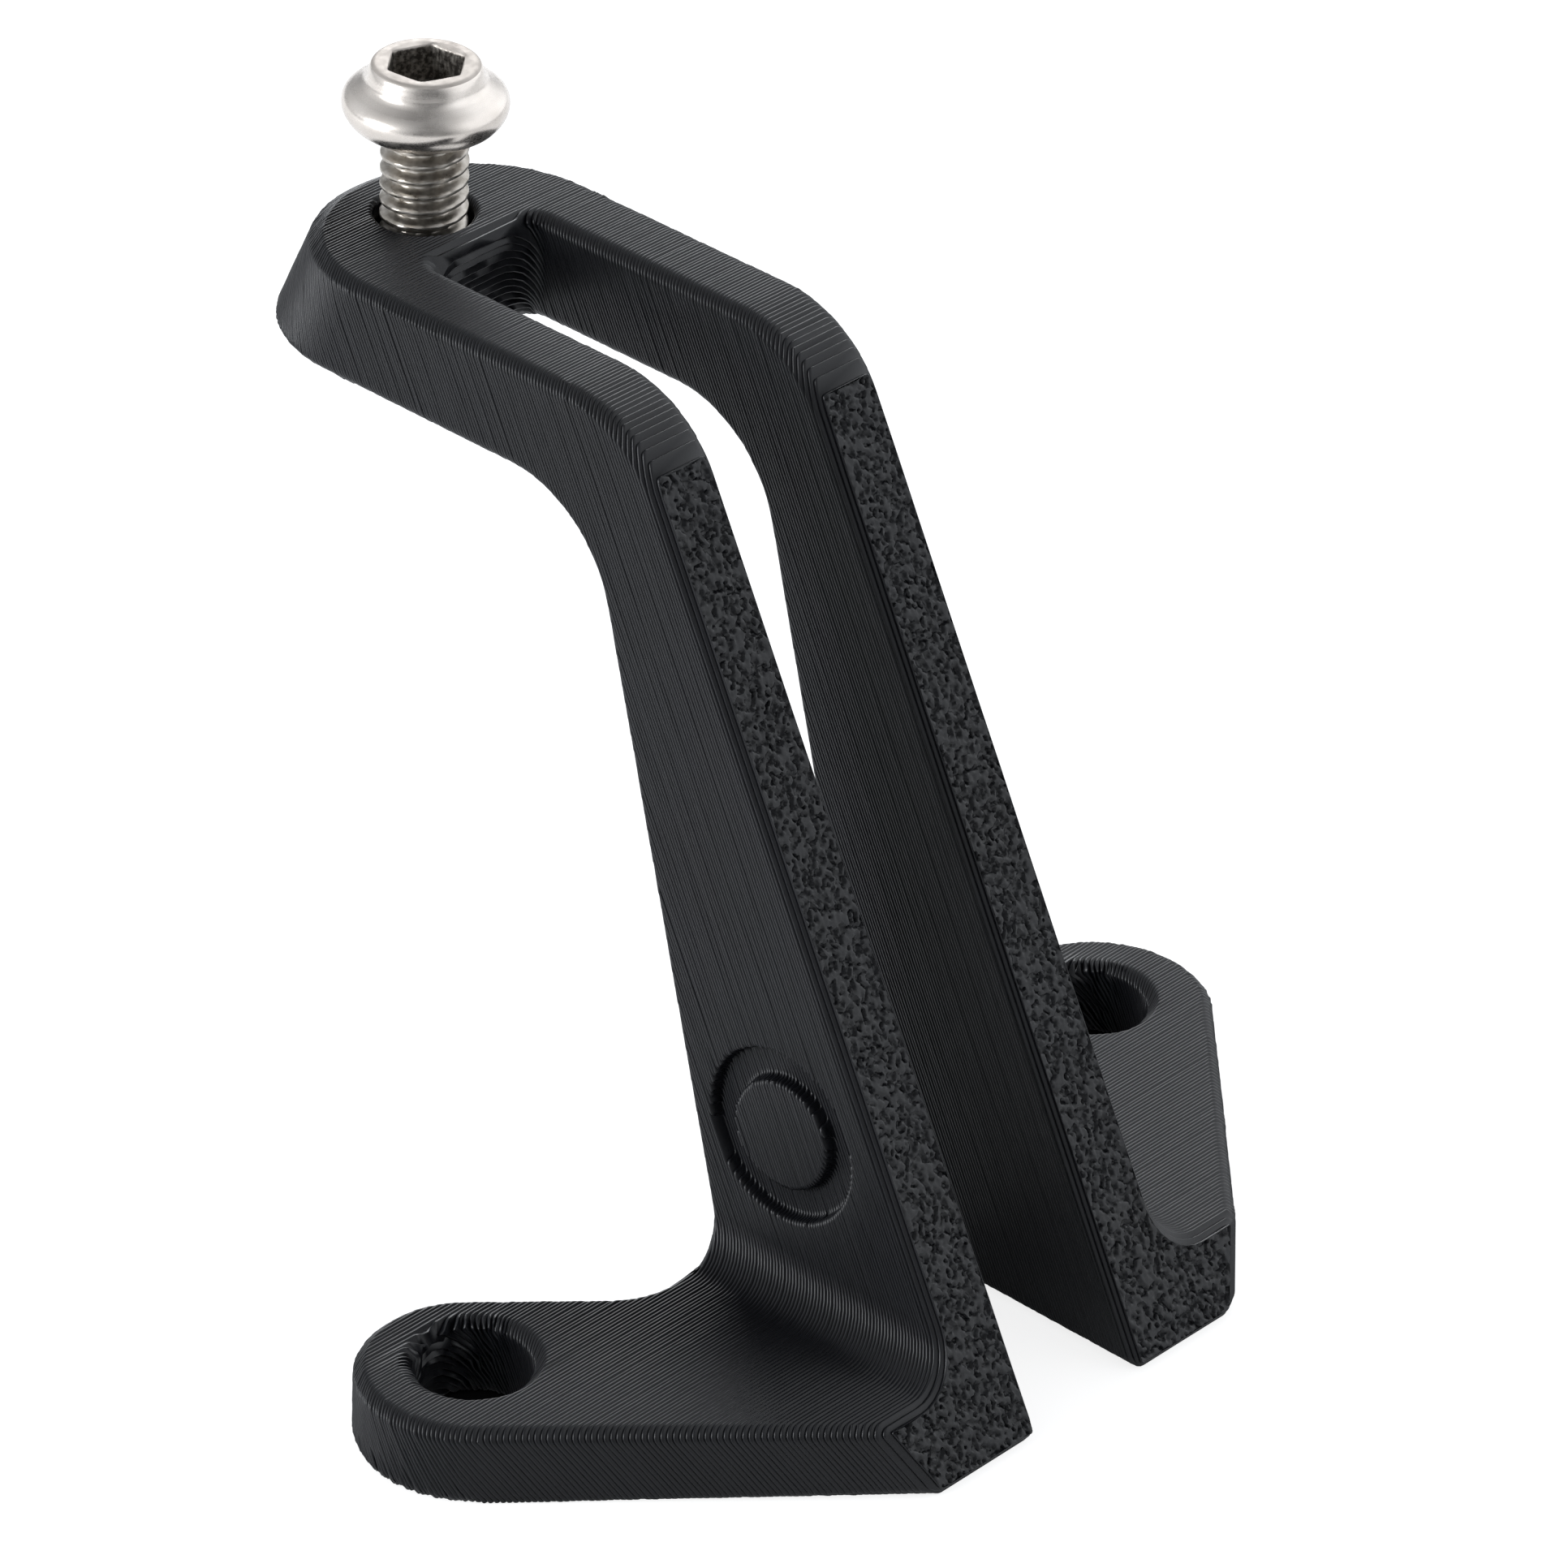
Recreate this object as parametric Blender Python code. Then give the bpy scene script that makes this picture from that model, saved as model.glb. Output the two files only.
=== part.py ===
"""Printed two-arm hook bracket with a half-driven nose screw.

One black printed bracket stands on two splayed feet. Its two arms lean
forward, bend over and join in a rounded nose. A flanged socket screw stands
in the nose and turns in a brass insert that is pressed in from below.

Frame: +Z up, +Y from the heel to the nose, X across. The origin is at the
middle of the footprint, on the surface that the bracket stands on.
"""
from math import cos, pi, radians, sin, sqrt, tan

import bmesh
import bpy
from mathutils import Matrix, Vector

MM = 0.001

# Where the origin lies in front of the heel line
ORIGIN_Y = 30.739 * MM

# Arms
SLOT_WIDTH = 8.2 * MM
ARM_THICKNESS = 5.0 * MM
HALF_WIDTH = SLOT_WIDTH / 2 + ARM_THICKNESS
HEEL_LEAN = radians(27.8)
FRONT_LEAN = radians(15.0)
ARM_DEPTH_AT_BASE = 19.2 * MM
TOP_Z = 54.9 * MM
UNDERSIDE_Z = 48.2 * MM
OUTER_BEND_RADIUS = 8.0 * MM
INNER_BEND_RADIUS = 7.5 * MM
EDGE_CHAMFER = 0.6 * MM

# Nose, round in plan, its wall leaning back from the underside to the top
NOSE_CENTRE_TOP_Y = 49.25 * MM
NOSE_CENTRE_BOTTOM_Y = 52.35 * MM
SLOT_END_Y = 49.0 * MM
SLOT_CORNER_RADIUS = 1.0 * MM

# Feet
FOOT_THICKNESS = 4.8 * MM
FOOT_ANGLE = radians(43.7)
FOOT_HALF_WIDTH = 6.57 * MM
FOOT_END_X = 26.45 * MM
FOOT_END_Y = 22.5 * MM
FOOT_INNER_RADIUS = 5.0 * MM
FOOT_HOLE_RADIUS = 3.4 * MM
FOOT_HOLE_X = 25.95 * MM
FOOT_HOLE_Y = 22.95 * MM
ARM_FILLET_RADIUS = 2.8 * MM

# Screw: M5, 11 mm long under its dished flange, standing half out of the nose
SCREW_Y = 53.3 * MM
THREAD_RADIUS = 2.5 * MM
THREAD_PITCH = 0.95 * MM
THREAD_DEPTH = 0.4 * MM
# One turn of the thread from root to crest, in shares of the pitch
ROOT_END = 0.25
CREST_START = 0.65
CREST_END = 0.75
SCREW_LENGTH = 11.0 * MM
HEAD_UNDERSIDE_Z = 60.1 * MM
FLANGE_RADIUS = 4.7 * MM
FLANGE_SEAT_RADIUS = 3.3 * MM
FLANGE_DISH = 1.0 * MM
FLANGE_HEIGHT = 2.3 * MM
BOSS_RADIUS = 3.3 * MM
HEAD_HEIGHT = 4.0 * MM
SOCKET_ACROSS_FLATS = 4.0 * MM
SOCKET_DEPTH = 2.2 * MM
SOCKET_TURN = radians(37.5)
SOCKET_CHAMFER = 0.2 * MM
RIM_ROUNDING = 0.6 * MM
RIM_START = radians(-45)
RIM_END = radians(60)
FLANGE_RISE = 0.8 * MM
BOSS_DRAFT = 0.2 * MM
BOSS_ROUNDING = 0.3 * MM
TIP_CHAMFER = 0.2 * MM

# Insert, pressed into the nose from below
INSERT_RADIUS = 3.2 * MM
INSERT_LENGTH = 4.0 * MM
INSERT_KNURLS = 24
INSERT_KNURL_DEPTH = 0.12 * MM
# The insert's waist, in shares of its length
WAIST_START = 0.4
WAIST_END = 0.6
NOSE_HOLE_RADIUS = 2.85 * MM
NOSE_HOLE_CHAMFER = 0.25 * MM
PIECE_GAP = 0.3 * MM
THREAD_CLEARANCE = 0.1 * MM

# Plain ring sunk into the left arm's outer face
MARK_Y = 16.0 * MM
MARK_Z = 14.8 * MM
MARK_OUTER_RADIUS = 5.2 * MM
MARK_INNER_RADIUS = 3.4 * MM
MARK_DEPTH = 0.8 * MM

BEND_STEPS = 16
ROUND_STEPS = 48
CORNER_STEPS = 4
SCREW_STEPS = 36
OVERRUN = 3.0 * MM
SNAP = 0.05 * MM
WELD = 0.001 * MM
FLAT_ANGLE = radians(0.5)
SHARP_EDGE = radians(28)

# Colour, roughness and metallic of each material
BLACK_PRINT = ((0.012, 0.012, 0.014), 0.45, 0.0)
POLISHED_STEEL = ((0.80, 0.78, 0.75), 0.16, 1.0)
BRASS = ((0.78, 0.57, 0.25), 0.35, 1.0)


def arc(centre, radius, start, end, steps):
    """Points of a circular arc, both ends included."""
    angles = [start + (end - start) * i / steps for i in range(steps + 1)]
    return [(centre[0] + radius * cos(a), centre[1] + radius * sin(a)) for a in angles]


def circle(centre, radius, steps):
    """Points of a whole circle, counter-clockwise."""
    return arc(centre, radius, 0, 2 * pi, steps)[:-1]


def material(name, colour, roughness, metallic):
    """A Principled material."""
    made = bpy.data.materials.new(name)
    made.use_nodes = True
    shader = made.node_tree.nodes["Principled BSDF"]
    shader.inputs["Base Color"].default_value = (*colour, 1)
    shader.inputs["Roughness"].default_value = roughness
    shader.inputs["Metallic"].default_value = metallic
    return made


def add_object(name, shape):
    """Put a bmesh into the scene as a new object."""
    bmesh.ops.recalc_face_normals(shape, faces=shape.faces)
    mesh = bpy.data.meshes.new(name)
    shape.to_mesh(mesh)
    shape.free()
    made = bpy.data.objects.new(name, mesh)
    bpy.context.collection.objects.link(made)
    return made


def loft(name, rings, closed=False):
    """Skin rings of equal length; the ends are capped unless the rings close."""
    shape = bmesh.new()
    loops = [[shape.verts.new(point) for point in ring] for ring in rings]
    pairs = list(zip(loops, loops[1:]))
    if closed:
        pairs.append((loops[-1], loops[0]))
    for first, second in pairs:
        count = len(first)
        for i in range(count):
            j = (i + 1) % count
            shape.faces.new((first[i], first[j], second[j], second[i]))
    if not closed:
        shape.faces.new(loops[0])
        shape.faces.new(loops[-1])
    return add_object(name, shape)


def plan_prism(name, outline, low, high):
    """Extrude a plan outline from one height to another."""
    return loft(name, [[(x, y, z) for x, y in outline] for z in (low, high)])


def side_prism(name, outline, low, high):
    """Extrude a side outline, given as (y, z), along X."""
    return loft(name, [[(x, y, z) for y, z in outline] for x in (low, high)])


def stack(name, outlines, heights):
    """Skin plan outlines of equal length at rising heights, capped at both ends."""
    rings = [[(x, y, z) for x, y in outline] for outline, z in zip(outlines, heights)]
    return loft(name, rings)


def combine(target, other, operation):
    """Apply a Boolean to the target and remove the other object."""
    step = target.modifiers.new(operation.lower(), "BOOLEAN")
    step.object = other
    step.operation = operation
    step.solver = "EXACT"
    evaluated = target.evaluated_get(bpy.context.evaluated_depsgraph_get())
    result = bpy.data.meshes.new_from_object(evaluated)
    target.modifiers.clear()
    target.data = result
    bpy.data.objects.remove(other)
    clean(target)


def clean(target):
    """Merge coplanar faces so that only the real edges are left."""
    shape = bmesh.new()
    shape.from_mesh(target.data)
    bmesh.ops.remove_doubles(shape, verts=shape.verts, dist=WELD)
    bmesh.ops.dissolve_limit(shape, angle_limit=FLAT_ANGLE, verts=shape.verts, edges=shape.edges)
    shape.to_mesh(target.data)
    shape.free()


def chamfer_edges(target, width):
    """Chamfer every sharp edge but those on the ground; the heel's own edge is chamfered."""
    shape = bmesh.new()
    shape.from_mesh(target.data)
    edges = []
    for edge in shape.edges:
        on_ground = all(vertex.co.z < SNAP and vertex.co.y > SNAP for vertex in edge.verts)
        if not on_ground and edge.is_manifold and edge.calc_face_angle_signed() > SHARP_EDGE:
            edges.append(edge)
    bmesh.ops.bevel(shape, geom=edges, offset=width, segments=1, affect="EDGES", clamp_overlap=False)
    shape.to_mesh(target.data)
    shape.free()


def front_y(z):
    """The arms' front face at a height."""
    return ARM_DEPTH_AT_BASE + z * tan(FRONT_LEAN)


def hook_outline(nose_reach):
    """Side outline of the arms and the overhang, with spare stock at the heel."""
    heel_slope = tan(HEEL_LEAN)
    top_turn = pi / 2 - HEEL_LEAN
    top_run = OUTER_BEND_RADIUS * tan(top_turn / 2)
    top_centre = (TOP_Z * heel_slope + top_run, TOP_Z - OUTER_BEND_RADIUS)
    under_turn = pi / 2 - FRONT_LEAN
    under_run = INNER_BEND_RADIUS * tan(under_turn / 2)
    under_centre = (front_y(UNDERSIDE_Z) + under_run, UNDERSIDE_Z - INNER_BEND_RADIUS)
    points = [(-OVERRUN * heel_slope, -OVERRUN)]
    points += arc(top_centre, OUTER_BEND_RADIUS, pi / 2 + top_turn, pi / 2, BEND_STEPS)
    points.append((NOSE_CENTRE_TOP_Y + nose_reach, TOP_Z))
    points.append((NOSE_CENTRE_BOTTOM_Y + nose_reach, UNDERSIDE_Z))
    points += arc(under_centre, INNER_BEND_RADIUS, pi / 2, pi / 2 + under_turn, BEND_STEPS)
    points.append((front_y(FOOT_THICKNESS), FOOT_THICKNESS))
    points.append((front_y(FOOT_THICKNESS), -OVERRUN))
    return points


def hook_block():
    """Both arms and the nose as one block, round in plan at the nose."""
    rings = []
    for i in range(ROUND_STEPS + 1):
        angle = pi * i / ROUND_STEPS
        x = -HALF_WIDTH * cos(angle)
        rings.append([(x, y, z) for y, z in hook_outline(HALF_WIDTH * sin(angle))])
    block = loft("bracket", rings)
    clean(block)
    return block


def foot_outline(side):
    """Plan outline of one foot, from its heel round its end to the arm's front."""
    front = front_y(FOOT_THICKNESS)
    along = Vector((-cos(FOOT_ANGLE), sin(FOOT_ANGLE)))
    outward = Vector((-sin(FOOT_ANGLE), -cos(FOOT_ANGLE)))
    end = Vector((-FOOT_END_X, FOOT_END_Y))
    near = end + outward * FOOT_HALF_WIDTH
    heel_run = (near.y + OVERRUN) / along.y
    points = [tuple(near - along * heel_run)]
    start = -pi / 2 - FOOT_ANGLE
    points += arc(end, FOOT_HALF_WIDTH, start, start - pi, ROUND_STEPS // 2)
    far = end - outward * FOOT_HALF_WIDTH
    corner = far - along * ((far.y - front) / along.y)
    run = FOOT_INNER_RADIUS * tan(FOOT_ANGLE / 2)
    centre = (corner.x + run, front + FOOT_INNER_RADIUS)
    points += arc(centre, FOOT_INNER_RADIUS, -pi / 2 - FOOT_ANGLE, -pi / 2, BEND_STEPS // 2)
    return [(-side * x, y) for x, y in points]


def base_plate():
    """Both feet as one plate, before the slot parts them."""
    outline = foot_outline(-1) + foot_outline(1)[::-1]
    return plan_prism("base", outline, -OVERRUN, FOOT_THICKNESS)


def arm_fillet(side):
    """Filled corner between one arm's outer face and its foot, lofted along x."""
    low = FOOT_THICKNESS / 2
    back = -OVERRUN
    front = front_y(FOOT_THICKNESS)
    centre = (HALF_WIDTH + ARM_FILLET_RADIUS, FOOT_THICKNESS + ARM_FILLET_RADIUS)
    curve = arc(centre, ARM_FILLET_RADIUS, -pi, -pi / 2, BEND_STEPS // 2)
    curve = [(HALF_WIDTH - ARM_THICKNESS / 2, curve[0][1])] + curve
    rings = []
    for x, z in curve:
        section = [(back, low), (back, z), (front_y(z), z), (front, FOOT_THICKNESS), (front, low)]
        rings.append([(side * x, y, height) for y, height in section])
    return loft("fillet", rings)


def slot_cutter():
    """The slot between the arms, with rounded corners at the nose."""
    half = SLOT_WIDTH / 2
    corner = half - SLOT_CORNER_RADIUS
    corner_y = SLOT_END_Y - SLOT_CORNER_RADIUS
    outline = [(-half, -2 * OVERRUN), (half, -2 * OVERRUN)]
    outline += arc((corner, corner_y), SLOT_CORNER_RADIUS, 0, pi / 2, CORNER_STEPS)
    outline += arc((-corner, corner_y), SLOT_CORNER_RADIUS, pi / 2, pi, CORNER_STEPS)
    return plan_prism("slot", outline, -2 * OVERRUN, TOP_Z + OVERRUN)


def bored(profile):
    """A stepped round cutter on the screw's axis, from (radius, z) points."""
    return stack("bore", [circle((0, SCREW_Y), r, ROUND_STEPS) for r, z in profile],
                 [z for r, z in profile])


def mark_cutter():
    """The ring that is sunk into the left arm's outer face."""
    rings = []
    for i in range(ROUND_STEPS):
        angle = 2 * pi * i / ROUND_STEPS
        ring = []
        for radius, x in ((MARK_OUTER_RADIUS, -HALF_WIDTH - OVERRUN),
                          (MARK_OUTER_RADIUS, -HALF_WIDTH + MARK_DEPTH),
                          (MARK_INNER_RADIUS, -HALF_WIDTH + MARK_DEPTH),
                          (MARK_INNER_RADIUS, -HALF_WIDTH - OVERRUN)):
            ring.append((x, MARK_Y + radius * cos(angle), MARK_Z + radius * sin(angle)))
        rings.append(ring)
    return loft("mark", rings, closed=True)


def make_bracket():
    """The printed bracket."""
    bracket = hook_block()
    combine(bracket, base_plate(), "UNION")
    for side in (-1, 1):
        combine(bracket, arm_fillet(side), "UNION")
    slope = tan(HEEL_LEAN)
    reach = TOP_Z + OVERRUN
    heel_cut = [(-OVERRUN * slope, -OVERRUN), (reach * slope, reach),
                (-reach, reach), (-reach, -OVERRUN)]
    wide = FOOT_END_X + 2 * FOOT_HALF_WIDTH
    combine(bracket, side_prism("heel_cut", heel_cut, -wide, wide), "DIFFERENCE")
    ground = [(-wide, -wide), (wide, -wide), (wide, 2 * wide), (-wide, 2 * wide)]
    combine(bracket, plan_prism("ground_cut", ground, -2 * OVERRUN, 0), "DIFFERENCE")
    combine(bracket, slot_cutter(), "DIFFERENCE")
    for side in (-1, 1):
        hole = circle((side * FOOT_HOLE_X, FOOT_HOLE_Y), FOOT_HOLE_RADIUS, ROUND_STEPS)
        combine(bracket, plan_prism("hole", hole, -OVERRUN, FOOT_THICKNESS + OVERRUN), "DIFFERENCE")
    chamfer_edges(bracket, EDGE_CHAMFER)
    shoulder = UNDERSIDE_Z + PIECE_GAP + INSERT_LENGTH + PIECE_GAP
    mouth = NOSE_HOLE_RADIUS + NOSE_HOLE_CHAMFER
    pocket = [(INSERT_RADIUS + PIECE_GAP, UNDERSIDE_Z - OVERRUN),
              (INSERT_RADIUS + PIECE_GAP, shoulder), (NOSE_HOLE_RADIUS, shoulder),
              (NOSE_HOLE_RADIUS, TOP_Z - NOSE_HOLE_CHAMFER), (mouth, TOP_Z),
              (mouth, TOP_Z + OVERRUN)]
    combine(bracket, bored(pocket), "DIFFERENCE")
    combine(bracket, mark_cutter(), "DIFFERENCE")
    return bracket


def screw_profile():
    """Outer (radius, z) profile of the screw, from its tip to the boss's top."""
    tip_z = HEAD_UNDERSIDE_Z - SCREW_LENGTH
    root = THREAD_RADIUS - THREAD_DEPTH
    turns = int(SCREW_LENGTH / THREAD_PITCH)
    points = [(root - TIP_CHAMFER, tip_z)]
    for i in range(turns):
        low = tip_z + i * THREAD_PITCH
        points.append((root, low + ROOT_END * THREAD_PITCH))
        points.append((THREAD_RADIUS, low + CREST_START * THREAD_PITCH))
        points.append((THREAD_RADIUS, low + CREST_END * THREAD_PITCH))
    points.append((root, HEAD_UNDERSIDE_Z))
    rim = FLANGE_RADIUS - RIM_ROUNDING
    points.append((FLANGE_SEAT_RADIUS, HEAD_UNDERSIDE_Z))
    rim_centre = (rim, HEAD_UNDERSIDE_Z + FLANGE_DISH + RIM_ROUNDING)
    points += arc(rim_centre, RIM_ROUNDING, RIM_START, RIM_END, CORNER_STEPS)
    points.append((BOSS_RADIUS, HEAD_UNDERSIDE_Z + FLANGE_HEIGHT + FLANGE_RISE))
    top = HEAD_UNDERSIDE_Z + HEAD_HEIGHT
    crown = BOSS_RADIUS - BOSS_DRAFT - BOSS_ROUNDING
    points += arc((crown, top - BOSS_ROUNDING), BOSS_ROUNDING, 0, pi / 2, CORNER_STEPS)
    return points


def make_screw():
    """The flanged screw, with its hex socket."""
    profile = screw_profile()
    outlines = [circle((0, SCREW_Y), r, SCREW_STEPS) for r, z in profile]
    screw = stack("nose_screw", outlines, [z for r, z in profile])
    corner = SOCKET_ACROSS_FLATS / sqrt(3)
    top = HEAD_UNDERSIDE_Z + HEAD_HEIGHT
    hexagon = arc((0, SCREW_Y), corner, SOCKET_TURN, SOCKET_TURN + 2 * pi, 6)[:-1]
    socket = plan_prism("socket", hexagon, top - SOCKET_DEPTH, top + OVERRUN)
    combine(screw, socket, "DIFFERENCE")
    throat = SOCKET_ACROSS_FLATS / 2
    mouth = throat + SOCKET_CHAMFER
    cone = [(throat, top - SOCKET_CHAMFER), (mouth, top), (mouth, top + OVERRUN)]
    combine(screw, bored(cone), "DIFFERENCE")
    return screw


def make_insert():
    """The knurled brass insert in the nose."""
    low = UNDERSIDE_Z + PIECE_GAP
    high = low + INSERT_LENGTH
    bore = THREAD_RADIUS + THREAD_CLEARANCE
    groove_low = low + WAIST_START * INSERT_LENGTH
    groove_high = low + WAIST_END * INSERT_LENGTH
    lead = 2 * INSERT_KNURL_DEPTH
    rings = []
    for i in range(2 * INSERT_KNURLS):
        angle = pi * i / INSERT_KNURLS
        knurl = INSERT_RADIUS - (i % 2) * INSERT_KNURL_DEPTH
        waist = INSERT_RADIUS - lead
        profile = [(bore, low), (waist, low), (knurl, low + lead), (knurl, groove_low),
                   (waist, groove_low + lead), (waist, groove_high - lead), (knurl, groove_high),
                   (knurl, high - lead), (waist, high), (bore, high)]
        rings.append([(r * cos(angle), SCREW_Y + r * sin(angle), z) for r, z in profile])
    return loft("nose_insert", rings, closed=True)


def finish(piece, look):
    """Shade a piece, colour it and move it into the bracket's frame."""
    piece.data.transform(Matrix.Translation((0, -ORIGIN_Y, 0)))
    piece.data.materials.clear()
    piece.data.materials.append(look)
    piece.data.shade_smooth()
    piece.data.set_sharp_from_angle(angle=SHARP_EDGE)


for old in list(bpy.data.objects):
    bpy.data.objects.remove(old)

finish(make_bracket(), material("black_print", *BLACK_PRINT))
finish(make_screw(), material("polished_steel", *POLISHED_STEEL))
finish(make_insert(), material("brass", *BRASS))
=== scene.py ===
"""Looks of the two-arm hook bracket and its nose screw.

The bracket is rebuilt as the stack of beads that a printer lays down, starting from the heel plane.
Each layer is the CAD bracket's own cross-section, so every terrace and ridge comes from the real shape.
"""

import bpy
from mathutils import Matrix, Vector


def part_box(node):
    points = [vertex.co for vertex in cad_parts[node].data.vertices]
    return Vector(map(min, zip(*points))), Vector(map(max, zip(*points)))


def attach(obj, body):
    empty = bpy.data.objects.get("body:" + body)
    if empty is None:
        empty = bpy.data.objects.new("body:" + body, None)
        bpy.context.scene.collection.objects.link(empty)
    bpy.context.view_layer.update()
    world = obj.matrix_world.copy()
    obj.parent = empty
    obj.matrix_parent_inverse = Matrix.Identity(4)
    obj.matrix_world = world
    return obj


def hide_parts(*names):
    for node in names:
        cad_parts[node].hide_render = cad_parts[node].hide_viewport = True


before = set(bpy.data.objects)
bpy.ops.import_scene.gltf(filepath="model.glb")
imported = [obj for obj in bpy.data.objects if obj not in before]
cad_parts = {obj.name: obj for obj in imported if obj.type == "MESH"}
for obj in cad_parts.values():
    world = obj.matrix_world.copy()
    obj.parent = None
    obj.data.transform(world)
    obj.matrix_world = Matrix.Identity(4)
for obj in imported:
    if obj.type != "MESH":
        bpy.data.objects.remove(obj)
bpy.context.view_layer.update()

from math import cos, pi, radians, sin, sqrt, tan

import bmesh
import bpy
import numpy as np
from mathutils import Matrix, Vector, noise
from mathutils.geometry import delaunay_2d_cdt

MM = 0.001
HEEL_LEAN = radians(27.8)
UP_BUILD = Vector((0, cos(HEEL_LEAN), -sin(HEEL_LEAN)))
ALONG_HEEL = Vector((0, sin(HEEL_LEAN), cos(HEEL_LEAN)))
ACROSS = Vector((1, 0, 0))
LAYER = 0.21 * MM
# Bead wall from its bottom seam to its top seam: (share of the layer, how far it is set in)
BEAD = ((0.0, 0.050 * MM), (0.25, 0.005 * MM), (0.75, 0.005 * MM), (1.0, 0.050 * MM))
SET_IN = 0.03 * MM

# Outlines: shortest run, furthest point off a straight run, longest run, smallest island
CAD_WELD = 0.0005 * MM
SHORTEST_RUN = 0.06 * MM
FLAT = 0.010 * MM
LONGEST_RUN = 3.6 * MM
SMALLEST_ISLAND = 0.02 * MM * MM
# The nozzle rounds every turn sharper than this
SHARP_TURN = radians(22)
NOZZLE_TURN = 0.85 * MM
TURN_STEPS = 3

# Each bead's error: one of its own, a slow wave and a ripple along it
OWN_SWAY = 0.016
WAVE_SWAY, WAVE_LENGTH = 0.022, 3.4 * MM
RIPPLE_SWAY, RIPPLE_LENGTH = 0.008, 0.6 * MM

# Bolt holes and the feet's round ends; the strands over a hole sag, unevenly over a short length
HOLE_X = 25.95 * MM
HOLE_Y = -7.789 * MM
HOLE_RADIUS = 3.4 * MM
DROOP = 0.42 * MM
SAG_REACH = 1.1 * MM
RAGGED = 0.9 * MM
FOOT_ANGLE = radians(43.7)
FOOT_END = Vector((26.45 * MM, -8.239 * MM))
FOOT_ALONG = Vector((cos(FOOT_ANGLE), sin(FOOT_ANGLE)))
FOOT_RADIUS = 6.57 * MM
FOOT_SLACK = 0.02 * MM
FOOT_EDGE = 0.30 * MM
FOOT_EDGE_HEIGHT = 0.6 * MM

# Blind end of the slot, which the strands bridge
SLOT_HALF = 4.1 * MM
SLOT_END_Y = 18.261 * MM
SLOT_SIDE = 0.3 * MM
SLOT_DROOP = 0.35
OVERHANG_Z = 0.04
ARCH_RADIUS = 2.4 * MM
ARCH_REACH = 1.6 * MM
ARCH_FADE = 0.8 * MM
PAST_FADE = 1.0 * MM
SIDE_FADE = 1.2 * MM
ARCH_STEPS = 18

# The heel's own face: mesh spacing, flat rim, relief in mm, and the width of its raster beads
BED_SPACING = 0.125 * MM
EDGE_EASE = 0.22 * MM
PIT, CRUMB, GROOVE = 0.20, 0.030, 0.018
RASTER = 0.44 * MM


# ---------------------------------------------------------------- materials
class Nodes:
    """Short calls for one material's node tree."""

    def __init__(self, name):
        self.material = bpy.data.materials.new(name)
        self.material.use_nodes = True
        self.tree = self.material.node_tree
        self.shader = self.tree.nodes["Principled BSDF"]

    def add(self, kind, inputs=None, **settings):
        node = self.tree.nodes.new(kind)
        for key, value in settings.items():
            setattr(node, key, value)
        for key, value in (inputs or {}).items():
            if isinstance(value, bpy.types.NodeSocket):
                self.tree.links.new(value, node.inputs[key])
            else:
                node.inputs[key].default_value = value
        return node

    def set(self, **inputs):
        for key, value in inputs.items():
            key = key.replace("_", " ")
            if isinstance(value, bpy.types.NodeSocket):
                self.tree.links.new(value, self.shader.inputs[key])
            else:
                self.shader.inputs[key].default_value = value

    def place(self, scale=(1, 1, 1), rotation=(0, 0, 0)):
        """Object coordinates, turned and scaled."""
        coordinates = self.add("ShaderNodeTexCoord").outputs["Object"]
        turned = self.add("ShaderNodeMapping", {"Vector": coordinates, "Rotation": rotation})
        return self.add("ShaderNodeMapping", {"Vector": turned.outputs[0], "Scale": scale}).outputs[0]

    def noise(self, vector, scale, detail=3.0, roughness=0.55):
        return self.add("ShaderNodeTexNoise", {"Vector": vector, "Scale": scale, "Detail": detail,
                                               "Roughness": roughness}).outputs["Fac"]

    def ramp(self, factor, low, high, start=0.0, end=1.0):
        return self.add("ShaderNodeMapRange", {"Value": factor, "From Min": start, "From Max": end,
                                               "To Min": low, "To Max": high}).outputs[0]

    def mix(self, factor, first, second):
        node = self.add("ShaderNodeMix", data_type="RGBA")
        for key, value in ((0, factor), (6, first), (7, second)):
            if isinstance(value, bpy.types.NodeSocket):
                self.tree.links.new(value, node.inputs[key])
            else:
                node.inputs[key].default_value = value
        return node.outputs[2]

    def math(self, operation, first, second):
        return self.add("ShaderNodeMath", {0: first, 1: second}, operation=operation).outputs[0]

    def bump(self, height, strength, distance, normal=None):
        inputs = {"Height": height, "Strength": strength, "Distance": distance}
        if normal is not None:
            inputs["Normal"] = normal
        return self.add("ShaderNodeBump", inputs).outputs[0]


def black_print(name, rough_low, rough_high, grain):
    """Black filament: faint streaks along the beads, fine grain, roughness that follows both."""
    n = Nodes(name)
    # The beads run square to the build direction, so the streaks are stretched within the layer
    along = n.place(scale=(1, 14, 1), rotation=(HEEL_LEAN, 0, 0))
    streak = n.noise(along, 900, 4, 0.6)
    plain = n.place()
    fine = n.noise(plain, 9000, 3, 0.6)
    broad = n.noise(plain, 160, 3, 0.5)
    tone = n.math("ADD", n.math("MULTIPLY", streak, 0.6), n.math("MULTIPLY", broad, 0.4))
    colour = n.mix(n.ramp(tone, 0, 1, 0.35, 0.65),
                   (0.0022, 0.0024, 0.0032, 1), (0.0050, 0.0054, 0.0072, 1))
    rough = n.ramp(n.math("ADD", n.math("MULTIPLY", streak, 0.5), n.math("MULTIPLY", fine, 0.5)),
                   rough_low, rough_high, 0.3, 0.7)
    bumps = n.bump(streak, 0.35, 0.012 * MM)
    bumps = n.bump(fine, grain, 0.008 * MM, bumps)
    n.set(Base_Color=colour, Roughness=rough, Normal=bumps, Specular_IOR_Level=0.34)
    return n.material


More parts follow.
